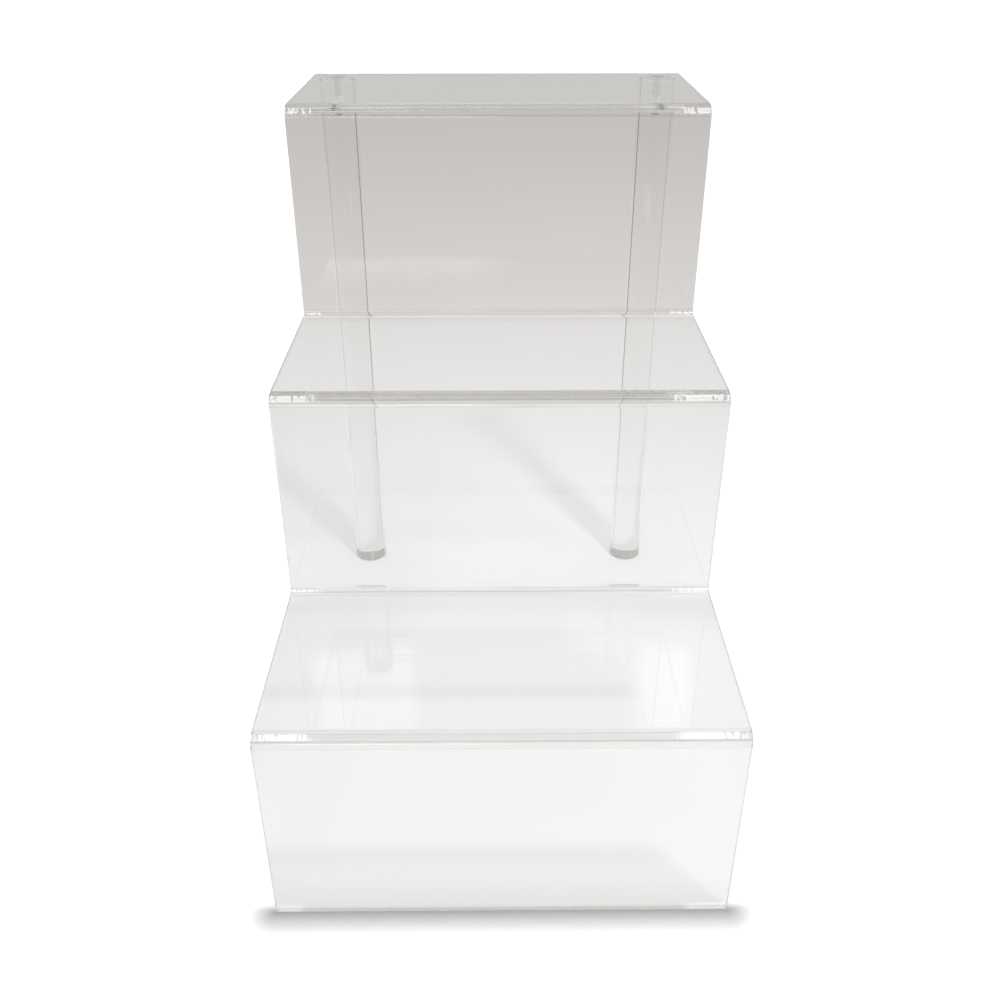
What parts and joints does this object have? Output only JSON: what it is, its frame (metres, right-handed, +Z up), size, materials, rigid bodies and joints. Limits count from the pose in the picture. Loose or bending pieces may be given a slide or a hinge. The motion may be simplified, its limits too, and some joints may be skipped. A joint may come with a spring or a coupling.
{
  "type": "tiered shelf riser",
  "caption": "Tall stepped display riser of bent clear acrylic sheet, with level tiers that climb to the back on round clear rod legs, open underneath and at the sides.",
  "frame": {"origin": "on the floor, at the middle of the riser's width and depth", "axes": "+Z up; the lowest tier faces -Y and the steps climb towards +Y; +X is to the right seen from the front"},
  "size_m": [0.25, 0.381, 0.381],
  "materials": {
    "clear_sheet": "polished",
    "clear_rod": "polished",
    "clear_screw": "gloss"
  },
  "bodies": {
    "root": {"stepped_sheet": "clear_sheet", "left_rod": "clear_rod", "right_rod": "clear_rod", "left_screw": "clear_screw", "right_screw": "clear_screw"}
  },
  "joints": []
}
